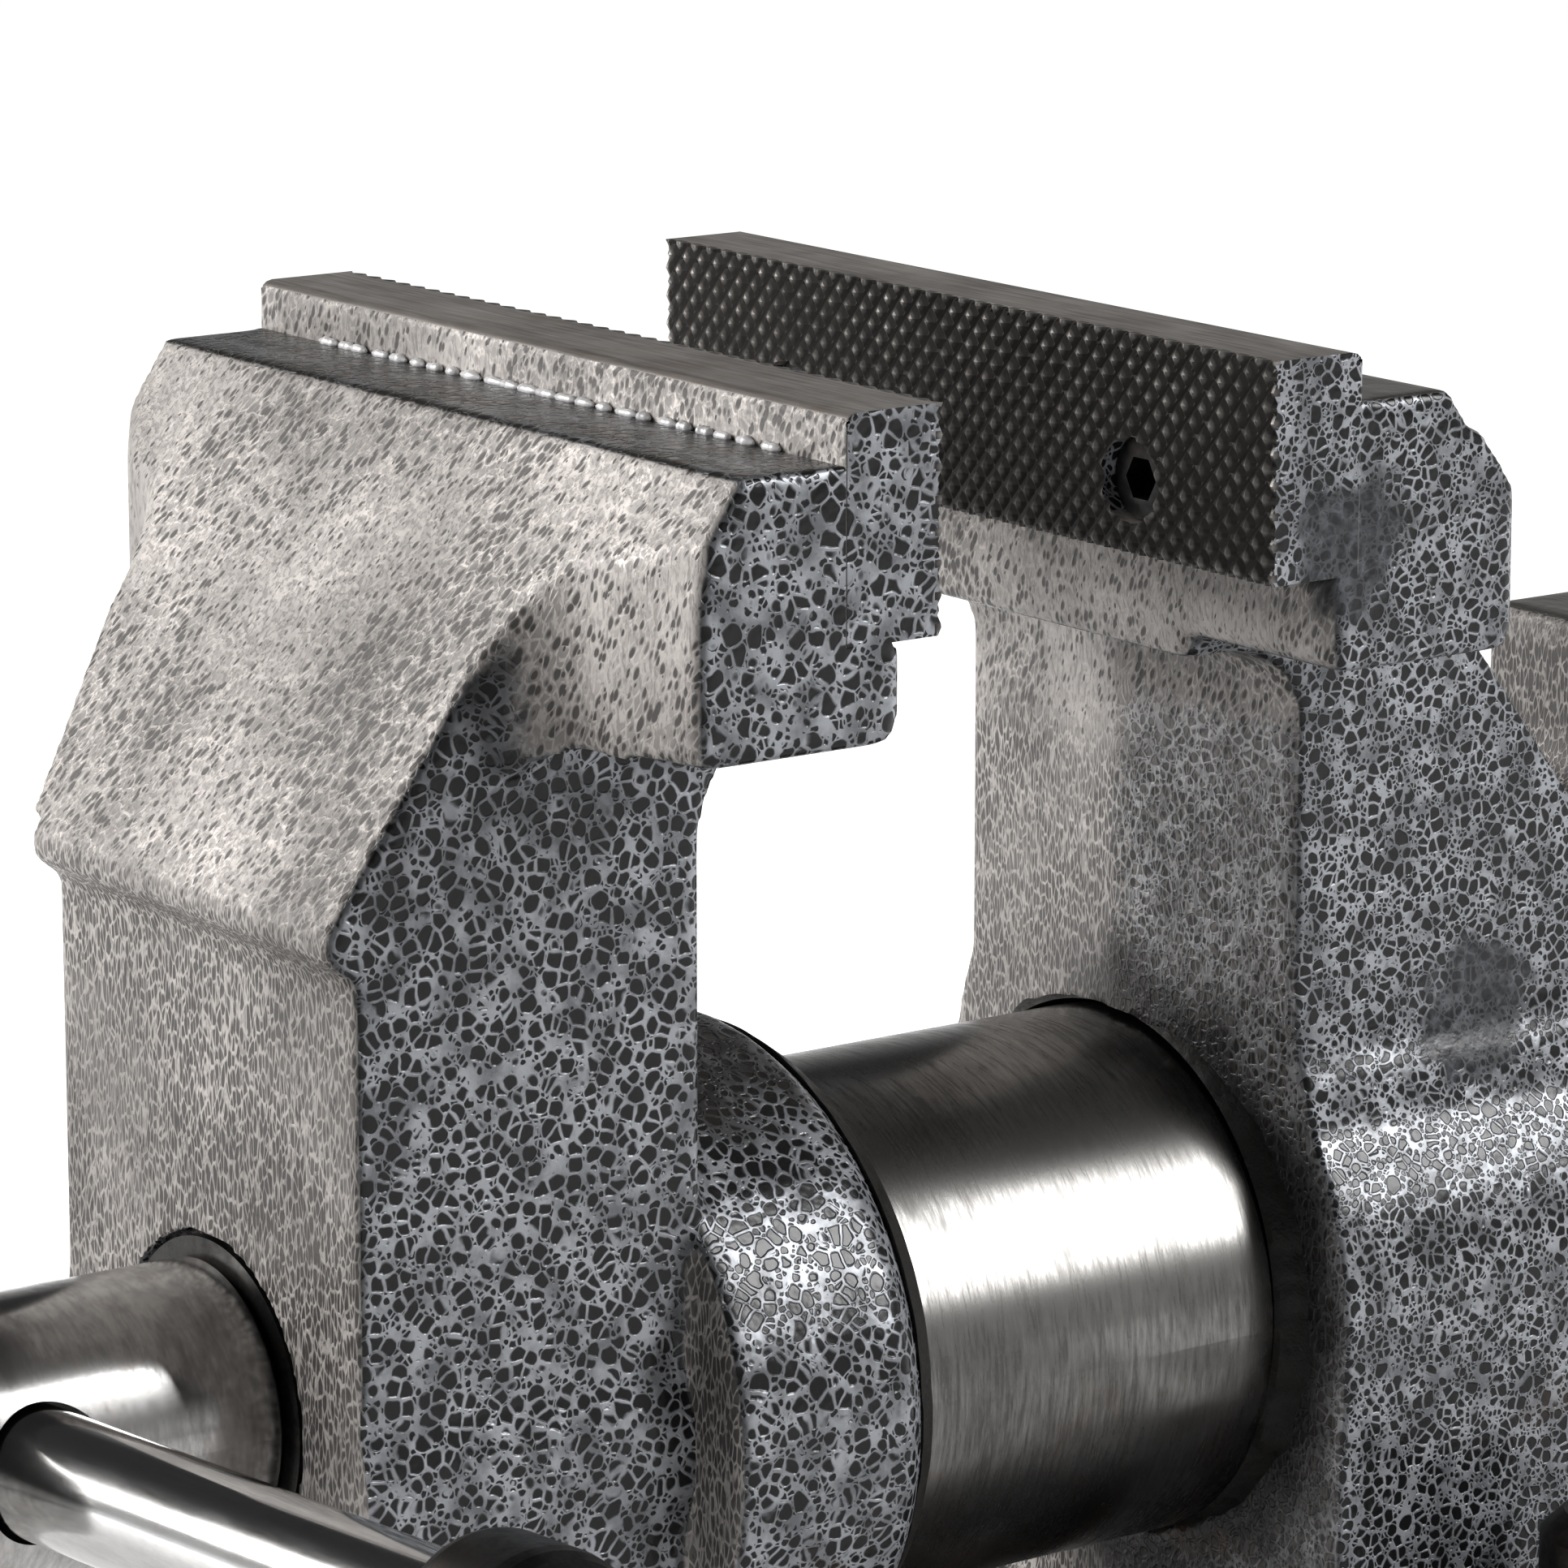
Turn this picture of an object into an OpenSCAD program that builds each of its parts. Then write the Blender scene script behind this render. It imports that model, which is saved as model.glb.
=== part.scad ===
// Bench vise with a round slide bar, on a swivel base.
// +Z is up, +Y points to the anvil and -Y to the handle. The origin is on the
// bench, on the swivel axis. Castings are drawn in the jaw frame: its origin
// is the middle of the fixed jaw's face, at the top edge of the jaws.

/* [Jaws] */
// Width of the jaws
jaw_w = 125; // [115:1:135]
// Height of a jaw plate
plate_h = 27; // [25:1:28]
// Thickness of a jaw plate
plate_t = 14; // [12:1:15]
// Opening between the plates as stored
rest_gap = 48; // [46:1:60]
// Sideways distance of a plate screw from the middle
plate_screw_x = 35.5; // [28:0.5:45]
// Depth of a plate screw below the jaws' top
plate_screw_z = 18; // [16:0.5:19]

/* [Slide bar and spindle] */
// Diameter of the slide bar
bar_d = 69.4; // [66:0.2:70]
// Depth of the bar's axis below the jaws' top
bar_drop = 130; // [128:1:134]
// Depth of the spindle's axis below the jaws' top
spindle_drop = 123; // [122:0.5:125]
// Diameter of the hole along the bar
bar_bore_d = 44; // [40:1:46]
// Diameter of the spindle's thread
thread_d = 28; // [24:1:28]
// Diameter of the spindle's head
head_d = 35; // [34:1:38]
// Distance of the handle's axis in front of the fixed jaw's face
handle_reach = 142; // [140:1:144]
// Diameter of the handle
handle_d = 15.6; // [14:0.2:16]
// Length of the handle between its knobs' inner faces
handle_span = 214; // [180:2:240]
// Rise of the handle towards +X, in degrees
handle_tilt = 3.8; // [0:0.1:10]

/* [Base] */
// Height of the jaws' top above the bench
jaw_top = 232; // [230:1:240]
// Distance of the fixed jaw's face in front of the swivel axis
jaw_setback = 62; // [60:1:64]
// Radius of the swivel base
base_r = 82; // [80:1:86]
// Height of the swivel base
base_h = 38; // [36:1:38]
// Diameter of the circle of the bench bolts
bench_pcd = 196; // [192:1:204]
// Radius of a bench bolt's hole
bench_hole_r = 6.5; // [5:0.5:7]
// Radius of the circle of the swivel lock bolts
lock_r = 62; // [61:0.5:63]

/* [Hidden] */
$fn = 96;
overlap = 0.01;      // how far joined shapes reach into each other
run_gap = 0.05;      // radial clearance of a running fit
face_gap = 0.1;      // gap between faces that slide on each other
iron = [0.42, 0.43, 0.44];
steel = [0.72, 0.72, 0.70];
dark = [0.25, 0.25, 0.26];

half_w = jaw_w / 2;
head_h = 39;                        // height of a jaw's head
shelf_z = -6;                       // top of the casting behind a plate
plate_seat_z = -plate_h - 0.2;
moving_back_y = -rest_gap - plate_t;
col_half_w = 33.5;                  // half width of the moving jaw's column
col_front_y = moving_back_y - 48;
col_back_y = moving_back_y + 0.5;
col_foot_z = -176;
wall_y = col_front_y + 10.2;        // inner face of the column's front wall
boss_r = 44;
boss_end_y = moving_back_y + 32;
bar_r = bar_d / 2;
bar_rear_y = 178;
boss_bevel = [7, 8];                // how far the boss's end slopes in, and over what length
lock_screw_y = [moving_back_y + 10, moving_back_y + 22];
lock_screw_r = 4;
lock_screw_len = 18;
lock_screw_z = -171;                // underside of the screws that hold the bar
spigot_r = 29;                      // radius of the bar's thinner end inside the column
slot_w = 20.6;
slot_front_y = 28;
journal_r = 15;
washer_r = 19.8;
washer_t = 2;
collar_t = 10;
collar_pin_r = 2.5;
head_end_y = -handle_reach - 24;
spindle_rear_y = 186;
nut_y = [76, 112];
nut_neck_w = 20;
nut_foot_z = -171;
nut_bolt_y = [nut_y[0] + 9, nut_y[1] - 9];
nut_bolt_r = 4;
nut_bolt_head = [6.5, 8.2];         // radius and height
nut_bolt_recess = [7.5, 9];         // radius and depth of the recess for its head
col_face_y = 29.3;                  // inner face of the fixed jaw's column, at its sides
col_ridge_y = 25;                   // the same face at the mould's parting line
house_rear_y = 140;
house_r = 44.5;
house_half_w = 43.5;                // half width of the block under the housing
foot_top = 54;                      // top of the foot flange, above the bench
foot_top_z = foot_top - jaw_top;
foot_r = 78;
foot_bottom = base_h + face_gap;    // underside of the foot, above the bench
nut_bolt_z = foot_bottom + 0.8 - jaw_top;   // underside of a nut bolt's head
pivot_len = 21;                     // how far the pivot bolt screws into the foot
pivot_head_r = 17.3;
pivot_head_z = [1.5, 12.5];
pivot_washer_r = 20;
pivot_washer_z = [12.6, 15.9];
pivot_recess = [22, 16];            // radius and depth of the recess in the base
groove_z = [15, 27];                // floor and roof of the swivel groove's wide part
groove_half = 13;
slot_half = 6.5;
ear_r = 17;                         // corner round of the base's flange
ear_h = 14;
lock_thread_r = 6;
lock_washer_r = 12;
lock_washer_t = 2.5;
lock_hub_h = 22;
lock_lever_len = 70;
lock_lever_tilt = 14;
lock_lever_r = 4.5;
pivot_r = 10;
knob_r = 12.4;
knob_t = 18;
screw_r = 3;
screw_head_r = 5;
screw_head_h = 6;
screw_sink = 2.2;                   // depth of the screw head's top

// Points of an arc from angle a0 to a1 about (cx, cy)
function arc(cx, cy, r, a0, a1, n = 8) =
    [for (i = [0 : n]) let (a = a0 + (a1 - a0) * i / n) [cx + r * cos(a), cy + r * sin(a)]];

// Side outline of a jaw's head: x counts away from the gap, y is height
function head_outline(shelf, depth, lip, nose) = concat(
    [[-lip, plate_seat_z], [0, plate_seat_z], [0, shelf_z], [shelf, shelf_z]],
    [[shelf + nose, -14.7]],
    arc(depth - 4, -20, 4, 25, 0, 3),
    arc(depth - 3, -head_h + 3, 3, 0, -90, 4),
    arc(-lip + 3, -head_h + 3, 3, -90, -180, 4)
);

module at_jaw() {
    translate([0, -jaw_setback, jaw_top]) children();
}

// Extrudes an outline drawn as (y, z) to both sides of the middle
module across(width) {
    rotate([90, 0, 90]) translate([0, 0, -width / 2]) linear_extrude(width) children();
}

// Extrudes an outline drawn as (x, z) from y0 to y1
module along(y0, y1) {
    translate([0, y1, 0]) rotate([90, 0, 0]) linear_extrude(y1 - y0) children();
}

// Round bar along Y, its axis at height z
module rod_y(r, y0, y1, z, x = 0) {
    translate([x, y1, z]) rotate([90, 0, 0]) cylinder(r = r, h = y1 - y0);
}

module plate_screw_holes(y0, y1) {
    for (x = [-plate_screw_x, plate_screw_x])
        rod_y(screw_r + run_gap, y0, y1, -plate_screw_z, x);
}

// ---------------------------------------------------------------- jaws

module jaw_plate() {
    // Serrated face at y = 0, back at y = plate_t
    difference() {
        across(jaw_w) polygon([
            [0, -plate_h], [plate_t, -plate_h], [plate_t, -0.8],
            [plate_t - 0.8, 0], [0.8, 0], [0, -0.8]
        ]);
        for (x = [-plate_screw_x, plate_screw_x]) {
            rod_y(screw_r + 0.3, -1, plate_t + 1, -plate_screw_z, x);
            rod_y(screw_head_r + 0.3, -1, screw_sink + screw_head_h, -plate_screw_z, x);
        }
    }
}

module jaw_screws() {
    for (x = [-plate_screw_x, plate_screw_x]) difference() {
        union() {
            rod_y(screw_head_r, screw_sink, screw_sink + screw_head_h, -plate_screw_z, x);
            rod_y(screw_r, screw_sink + screw_head_h - overlap, plate_t + 13, -plate_screw_z, x);
        }
        translate([x, screw_sink + 3.5, -plate_screw_z]) rotate([90, 0, 0])
            cylinder(r = 2.9, h = 10, $fn = 6);
    }
}

module fixed_jaw_plate() {
    color(steel) at_jaw() jaw_plate();
}

module fixed_jaw_screws() {
    color(dark) at_jaw() jaw_screws();
}

module moving_jaw_plate() {
    color(steel) at_jaw() translate([0, -rest_gap, 0]) mirror([0, 1, 0]) jaw_plate();
}

module moving_jaw_screws() {
    color(dark) at_jaw() translate([0, -rest_gap, 0]) mirror([0, 1, 0]) jaw_screws();
}

// ---------------------------------------------------------------- moving jaw

// Sloped front of the moving jaw, from its shelf to a rounded ridge, as (y, z)
brow_top = [moving_back_y - 14.8, shelf_z - 0.5];
function brow_ridge() = arc(col_front_y - 0.6, -60.5, 3.4, 147, 215, 4);

// Side outline of the column, as (y, z)
function column_outline() = concat(
    [[moving_back_y, brow_top[1]], brow_top],
    brow_ridge(),
    [[col_front_y, -65]],
    arc(col_front_y + 12, col_foot_z + 12, 12, 180, 270, 6),
    arc(col_back_y - 12, col_foot_z + 12, 12, 270, 360, 6),
    arc(col_back_y + 13, -head_h - 15.5, 13, 180, 116, 6),
    [[moving_back_y + 7.9, -head_h + 4], [moving_back_y, -head_h + 4]]
);

// Plan of a brow: column width in front, flaring to full width at the head.
// The flank on the -X side is cast wider by flare at the head.
function brow_plan(front_y, head_y, half_col, r, flare = 0) = concat(
    [[half_w, head_y + 6], [half_w, head_y + 1.2]],
    arc(half_col + r, head_y - r - 1.5, r, 80, 180, 8),
    [[half_col, front_y], [-half_col - flare / 6, front_y]],
    arc(-half_col - flare - r + 2, head_y - r - 1.5, r - 2, 0, 100, 8),
    [[-half_w, head_y + 1.2], [-half_w, head_y + 6]]
);

module moving_jaw() {
    head_front_y = moving_back_y - 20.7;
    color(iron) at_jaw() difference() {
        union() {
            across(jaw_w) translate([moving_back_y, 0]) mirror([1, 0])
                polygon(head_outline(14.8, 20.7, 7.9, 4.6));
            across(2 * col_half_w) polygon(column_outline());
            intersection() {
                across(jaw_w) polygon([
                    [moving_back_y - 2, brow_top[1]], brow_top, brow_ridge()[0],
                    [head_front_y, -head_h], [moving_back_y - 2, -head_h + 2]
                ]);
                translate([0, 0, -70]) linear_extrude(70)
                    polygon(brow_plan(col_front_y - 3.5, head_front_y, col_half_w, 12, 10));
            }
            rod_y(boss_r, col_back_y - 2, boss_end_y - boss_bevel[1], -bar_drop);
            translate([0, boss_end_y, -bar_drop]) rotate([90, 0, 0])
                cylinder(r1 = boss_r - boss_bevel[0], r2 = boss_r, h = boss_bevel[1]);
        }
        rod_y(bar_r, col_back_y, boss_end_y + 1, -bar_drop);
        rod_y(spigot_r, wall_y, col_back_y + 1, -spindle_drop);
        rod_y(journal_r + run_gap, col_front_y - 1, wall_y + 1, -spindle_drop);
        rod_y(washer_r + 0.7, col_front_y - 1, col_front_y + washer_t + 0.2, -spindle_drop);
        translate([0, moving_back_y, 0]) plate_screw_holes(-16, 1);
        for (y = lock_screw_y) translate([0, y, col_foot_z - 1])
            cylinder(r = lock_screw_r, h = 20);
    }
}

module bar_lock_screws() {
    color(dark) at_jaw() for (y = lock_screw_y) difference() {
        translate([0, y, lock_screw_z]) cylinder(r = lock_screw_r - run_gap, h = lock_screw_len);
        translate([0, y, lock_screw_z - overlap]) cylinder(r = 2.3, h = 5, $fn = 6);
    }
}

module slide_bar() {
    color(steel) at_jaw() difference() {
        union() {
            rod_y(bar_r, col_back_y, bar_rear_y, -bar_drop);
            rod_y(spigot_r, wall_y, col_back_y + 1, -spindle_drop);
        }
        rod_y(bar_bore_d / 2, wall_y - 1, bar_rear_y + 1, -spindle_drop);
        translate([-slot_w / 2, slot_front_y, -bar_drop - bar_r - 1])
            cube([slot_w, bar_rear_y, bar_r]);
        for (y = lock_screw_y) translate([0, y, lock_screw_z])
            cylinder(r = lock_screw_r, h = lock_screw_len + face_gap);
    }
}

module thrust_washer() {
    color(steel) at_jaw() difference() {
        rod_y(washer_r, col_front_y + 0.2, col_front_y + 0.2 + washer_t, -spindle_drop);
        rod_y(journal_r + 0.4, col_front_y - 1, wall_y, -spindle_drop);
    }
}

// ---------------------------------------------------------------- spindle

module spindle() {
    color(steel) at_jaw() difference() {
        union() {
            translate([0, col_front_y + 0.1, -spindle_drop]) rotate([90, 0, 0])
                rotate_extrude() polygon(concat(
                    [[0, 0], [head_d / 2 - 1, 0], [head_d / 2, 1]],
                    arc(head_d / 2 - 4, col_front_y - head_end_y - 4, 4, 0, 90, 6),
                    [[0, col_front_y - head_end_y]]
                ));
            rod_y(journal_r, col_front_y, wall_y + 0.1, -spindle_drop);
            rod_y(thread_d / 2, wall_y, spindle_rear_y - 2, -spindle_drop);
            translate([0, spindle_rear_y, -spindle_drop]) rotate([90, 0, 0])
                cylinder(r1 = thread_d / 2 - 2, r2 = thread_d / 2, h = 2);
        }
        at_handle() rotate([0, 90, 0]) cylinder(r = handle_d / 2 + 0.6, h = 60, center = true);
        collar_pin_place() cylinder(r = collar_pin_r, h = 60, center = true);
    }
}

module at_handle() {
    translate([0, -handle_reach, -spindle_drop]) rotate([0, -handle_tilt, 0]) children();
}

module collar_pin_place() {
    translate([0, wall_y + 0.2 + collar_t / 2, -spindle_drop]) rotate([0, 90, 0]) children();
}

module spindle_collar() {
    color(dark) at_jaw() difference() {
        rod_y(bar_bore_d / 2 - 1, wall_y + 0.2, wall_y + 0.2 + collar_t, -spindle_drop);
        rod_y(thread_d / 2, wall_y - 1, wall_y + 20, -spindle_drop);
        collar_pin_place() cylinder(r = collar_pin_r, h = 60, center = true);
    }
}

module collar_pin() {
    color(steel) at_jaw() collar_pin_place()
        cylinder(r = collar_pin_r - run_gap, h = bar_bore_d - 4, center = true);
}

module handle_bar() {
    color(steel) at_jaw() at_handle() rotate([0, 90, 0])
        cylinder(r = handle_d / 2, h = handle_span + knob_t, center = true);
}

// Knob on the handle's end; side is +1 or -1
module handle_knob(side) {
    at_handle() translate([side * handle_span / 2, 0, 0]) rotate([0, side * 90, 0])
        difference() {
            rotate_extrude() polygon(concat(
                [[0, 0], [knob_r - 2.5, 0]],
                arc(knob_r - 2.5, 2.5, 2.5, -90, 0, 4),
                arc(knob_r - 6, knob_t - 6, 6, 0, 90, 6),
                [[0, knob_t]]
            ));
            translate([0, 0, -1]) cylinder(r = handle_d / 2, h = knob_t / 2 + 1);
        }
}

module left_handle_knob() {
    color(dark) at_jaw() handle_knob(-1);
}

module right_handle_knob() {
    color(dark) at_jaw() handle_knob(1);
}

// ---------------------------------------------------------------- fixed body

// Front outline of the column and housing, right half, as (x, z)
function housing_half() = concat(
    [[col_half_w, shelf_z - 4], [col_half_w, -94], [col_half_w + 2, -99]],
    arc(0, -bar_drop, house_r, 34, 0, 8),
    [[house_half_w, -150], [house_half_w, foot_top_z - 1]]
);

function mirrored(pts) = [for (i = [len(pts) - 1 : -1 : 0]) [-pts[i][0], pts[i][1]]];

// Side outline of the body from head to foot, as (y, z)
function body_side() = concat(
    [[plate_t, shelf_z], [28.2, shelf_z], [34.2, -12.4], [80, -73]],
    arc(97.5, -62, 20.6, 215, 270, 5),
    arc(109.5, -72.6, 10, -90, -5, 4),
    [[120, -57.5], [172, -57.5], [172, -76], [house_rear_y, -100], [house_rear_y, foot_top_z - 1]],
    [[col_face_y, foot_top_z - 1]],
    arc(col_face_y - 10, -52, 10, 0, 90, 6),
    [[plate_t - 3, -42], [plate_t - 3, -head_h + 1], [plate_t, -head_h + 1]]
);

module fixed_body() {
    color(iron) at_jaw() difference() {
        union() {
            across(jaw_w) translate([plate_t, 0])
                polygon(head_outline(14.2, 25, 4, 6));
            intersection() {
                across(jaw_w) polygon(body_side());
                along(0, house_rear_y + 40)
                    polygon(concat(housing_half(), mirrored(housing_half())));
            }
            intersection() {
                across(jaw_w) polygon([
                    [plate_t + 2, shelf_z - 1], [28.2, shelf_z - 1], [34.2, -12.4],
                    [66, -54.5], [plate_t + 25, -head_h], [plate_t + 2, -head_h + 2]
                ]);
                mirror([0, 1, 0]) translate([0, 0, -70]) linear_extrude(70)
                    polygon(brow_plan(-100, -plate_t - 25, col_half_w, 16));
            }
            column_front();
            foot();
        }
        rod_y(bar_r + run_gap, 0, 200, -bar_drop);
        translate([0, plate_t, 0]) plate_screw_holes(-1, 14);
        nut_pocket();
        translate([0, jaw_setback, -jaw_top + foot_bottom - 1]) cylinder(r = pivot_r, h = pivot_len + 3);
        at_locks() translate([0, 0, foot_bottom - 1]) cylinder(r = lock_thread_r + 0.5, h = 40);
    }
}

// Front of the column, which slopes back to both sides of the parting line
module column_front() {
    translate([0, 0, foot_top_z - 1]) linear_extrude(-44 - foot_top_z)
        polygon([
            [-col_half_w, col_face_y + 1], [-col_half_w, col_face_y], [2, col_ridge_y],
            [col_half_w, col_face_y], [col_half_w, col_face_y + 1]
        ]);
}

module at_locks() {
    for (side = [-1, 1]) translate([side * lock_r, jaw_setback, -jaw_top]) children();
}

module foot() {
    translate([0, jaw_setback, -jaw_top + foot_bottom])
        rotate_extrude() polygon([
            [0, 0], [foot_r, 0], [foot_r, foot_top - foot_bottom - 2],
            [foot_r - 2, foot_top - foot_bottom], [0, foot_top - foot_bottom]
        ]);
}

module nut_pocket() {
    translate([-nut_neck_w / 2 - run_gap, nut_y[0] - run_gap, nut_foot_z])
        cube([nut_neck_w + 2 * run_gap, nut_y[1] - nut_y[0] + 2 * run_gap, 30]);
    for (y = nut_bolt_y) {
        translate([0, y, -jaw_top + foot_bottom - 1]) cylinder(r = nut_bolt_r + 0.5, h = 40);
        translate([0, y, -jaw_top + foot_bottom - 1])
            cylinder(r = nut_bolt_recess[0], h = nut_bolt_recess[1] + 1);
    }
}

module spindle_nut() {
    color(dark) at_jaw() difference() {
        union() {
            rod_y(bar_bore_d / 2 - 0.5, nut_y[0], nut_y[1], -spindle_drop);
            translate([-nut_neck_w / 2, nut_y[0], nut_foot_z])
                cube([nut_neck_w, nut_y[1] - nut_y[0], -spindle_drop - 5 - nut_foot_z]);
        }
        rod_y(thread_d / 2 + run_gap, nut_y[0] - 1, nut_y[1] + 1, -spindle_drop);
        for (y = nut_bolt_y) translate([0, y, nut_foot_z - 1]) cylinder(r = nut_bolt_r, h = 16);
    }
}

module nut_bolts() {
    color(dark) at_jaw() for (y = nut_bolt_y) {
        translate([0, y, nut_bolt_z]) difference() {
            union() {
                cylinder(r = nut_bolt_head[0], h = nut_bolt_head[1]);
                cylinder(r = nut_bolt_r - run_gap, h = nut_foot_z + 14 - nut_bolt_z);
            }
            translate([0, 0, -1]) cylinder(r = 3.4, h = 5, $fn = 6);
        }
    }
}

// ---------------------------------------------------------------- swivel lock

module lock_bolts() {
    color(dark) for (side = [-1, 1]) translate([side * lock_r, 0, 0]) {
        cylinder_from(groove_half - 1, groove_z[1] - 9 - face_gap, groove_z[1] - face_gap);
        cylinder_from(lock_thread_r, groove_z[1] - 7, foot_top + lock_washer_t + lock_hub_h - 4);
    }
}

module cylinder_from(r, z0, z1) {
    translate([0, 0, z0]) cylinder(r = r, h = z1 - z0);
}

module lock_washers() {
    color(steel) for (side = [-1, 1]) translate([side * lock_r, 0, foot_top]) difference() {
        cylinder(r = lock_washer_r, h = lock_washer_t);
        translate([0, 0, -1]) cylinder(r = lock_thread_r + 0.4, h = 5);
    }
}

module at_lock_nut(side) {
    translate([side * lock_r, 0, foot_top + lock_washer_t + face_gap]) children();
}

// Lock nut with a boss that carries its lever; side is +1 or -1
module lock_nut(side) {
    at_lock_nut(side) difference() {
        union() {
            cylinder(r = 11, h = lock_hub_h - 3);
            translate([0, 0, lock_hub_h - 3]) cylinder(r1 = 11, r2 = 8, h = 3);
        }
        translate([0, 0, -1]) cylinder(r = lock_thread_r + run_gap, h = lock_hub_h - 3);
        lever_place(side) translate([0, 0, 9]) cylinder(r = lock_lever_r, h = 12);
    }
}

module lever_place(side) {
    translate([0, 0, lock_hub_h / 2]) rotate([0, side * (90 - lock_lever_tilt), 0]) children();
}

module lock_lever(side) {
    at_lock_nut(side) lever_place(side)
        translate([0, 0, 9]) cylinder(r = lock_lever_r, h = lock_lever_len);
}

module lever_knob(side) {
    at_lock_nut(side) lever_place(side)
        translate([0, 0, lock_lever_len]) difference() {
            rotate_extrude() polygon(concat(
                [[0, 0], [5.5, 0], [8, 4]],
                arc(0, 11, 8.6, 0, 90, 8)
            ));
            translate([0, 0, -1]) cylinder(r = lock_lever_r, h = 10);
        }
}

module left_lock_nut() {
    color(dark) lock_nut(-1);
}

module left_lock_lever() {
    color(steel) lock_lever(-1);
}

module left_lever_knob() {
    color(dark) lever_knob(-1);
}

module right_lock_nut() {
    color(dark) lock_nut(1);
}

module right_lock_lever() {
    color(steel) lock_lever(1);
}

module right_lever_knob() {
    color(dark) lever_knob(1);
}

// ---------------------------------------------------------------- base

module swivel_base() {
    color(iron) difference() {
        union() {
            rotate_extrude() polygon(concat(
                [[0, 0], [base_r, 0]],
                arc(base_r - 5, base_h - 5, 5, 0, 90, 5),
                [[0, base_h]]
            ));
            base_flange();
        }
        rotate_extrude() polygon([
            [lock_r - slot_half, base_h + 1], [lock_r + slot_half, base_h + 1],
            [lock_r + slot_half, groove_z[1]], [lock_r + groove_half, groove_z[1]],
            [lock_r + groove_half, groove_z[0]], [lock_r - groove_half, groove_z[0]],
            [lock_r - groove_half, groove_z[1]], [lock_r - slot_half, groove_z[1]]
        ]);
        translate([0, lock_r, groove_z[0]]) cylinder(r = groove_half, h = base_h);
        translate([0, 0, -1]) cylinder(r = pivot_r + run_gap, h = base_h + 2);
        translate([0, 0, -1]) cylinder(r = pivot_recess[0], h = pivot_recess[1] + 1);
        at_bench_bolts() translate([0, 0, -1]) cylinder(r = bench_hole_r, h = 40);
    }
}

module at_bench_bolts() {
    for (a = [45 : 90 : 315]) rotate([0, 0, a]) translate([bench_pcd / 2, 0, 0]) children();
}

// Square flange with a rounded corner round each bench bolt
module base_flange() {
    corner = bench_pcd / 2 * sin(45);
    linear_extrude(ear_h) polygon([
        for (a = [0 : 90 : 270])
            let (side = [cos(a) - sin(a), sin(a) + cos(a)] * corner)
            each arc(side[0], side[1], ear_r, a, a + 90, 12)
    ]);
}

module pivot_bolt() {
    color(dark) difference() {
        union() {
            cylinder_from(pivot_r, 4, foot_bottom + pivot_len);
            translate([0, 0, pivot_head_z[0]])
                cylinder(r = pivot_head_r, h = pivot_head_z[1] - pivot_head_z[0], $fn = 6);
        }
        translate([0, 0, 1]) cylinder(r = 3, h = 2);
    }
}

module pivot_washer() {
    color(steel) difference() {
        cylinder_from(pivot_washer_r, pivot_washer_z[0], pivot_washer_z[1]);
        cylinder_from(pivot_r + 0.4, 0, 20);
    }
}

swivel_base();
pivot_bolt();
pivot_washer();
fixed_body();
fixed_jaw_plate();
fixed_jaw_screws();
spindle_nut();
nut_bolts();
lock_bolts();
lock_washers();
left_lock_nut();
left_lock_lever();
left_lever_knob();
right_lock_nut();
right_lock_lever();
right_lever_knob();
moving_jaw();
moving_jaw_plate();
moving_jaw_screws();
slide_bar();
bar_lock_screws();
thrust_washer();
spindle();
spindle_collar();
collar_pin();
handle_bar();
left_handle_knob();
right_handle_knob();
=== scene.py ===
import math

import bmesh
import bpy
import numpy as np
from mathutils import Matrix, Vector

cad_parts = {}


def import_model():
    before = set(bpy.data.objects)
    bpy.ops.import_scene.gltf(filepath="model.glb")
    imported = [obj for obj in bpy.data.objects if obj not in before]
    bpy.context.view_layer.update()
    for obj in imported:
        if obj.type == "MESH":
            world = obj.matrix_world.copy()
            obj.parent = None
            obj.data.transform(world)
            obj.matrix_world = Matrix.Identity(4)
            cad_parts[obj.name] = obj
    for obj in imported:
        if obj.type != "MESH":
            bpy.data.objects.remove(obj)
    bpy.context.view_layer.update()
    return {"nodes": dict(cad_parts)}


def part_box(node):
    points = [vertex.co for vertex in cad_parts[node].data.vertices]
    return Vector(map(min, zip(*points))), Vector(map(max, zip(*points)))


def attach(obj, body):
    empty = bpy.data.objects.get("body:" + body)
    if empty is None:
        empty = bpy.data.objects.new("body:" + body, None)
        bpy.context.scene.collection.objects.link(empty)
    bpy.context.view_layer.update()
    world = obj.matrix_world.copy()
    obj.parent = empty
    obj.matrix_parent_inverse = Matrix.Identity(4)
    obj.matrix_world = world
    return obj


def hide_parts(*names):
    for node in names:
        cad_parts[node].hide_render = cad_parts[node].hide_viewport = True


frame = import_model()
NODES = frame["nodes"]
MM = 0.001

# Places read from the CAD frame, in metres
PLATE_LOW, PLATE_HIGH = (Vector(c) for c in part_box("fixed_jaw_plate"))
MOVING_LOW, MOVING_HIGH = (Vector(c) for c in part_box("moving_jaw_plate"))
BAR_LOW, BAR_HIGH = (Vector(c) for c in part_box("slide_bar"))
JAW_TOP = PLATE_HIGH.z
FACE_Y = PLATE_LOW.y
BAR_R = (BAR_HIGH.x - BAR_LOW.x) / 2
BAR_Z = (BAR_HIGH.z + BAR_LOW.z) / 2
ANVIL_Z = JAW_TOP - 57.5 * MM
BODY_FRONT = FACE_Y + 29.3 * MM         # front of the body's column, at its sides
BOSS_END = MOVING_LOW.y + 32 * MM       # free end of the moving jaw's boss
SHELF_Z = JAW_TOP - 6 * MM              # top of the castings behind the plates

# ------------------------------------------------------------------ node trees


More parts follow.
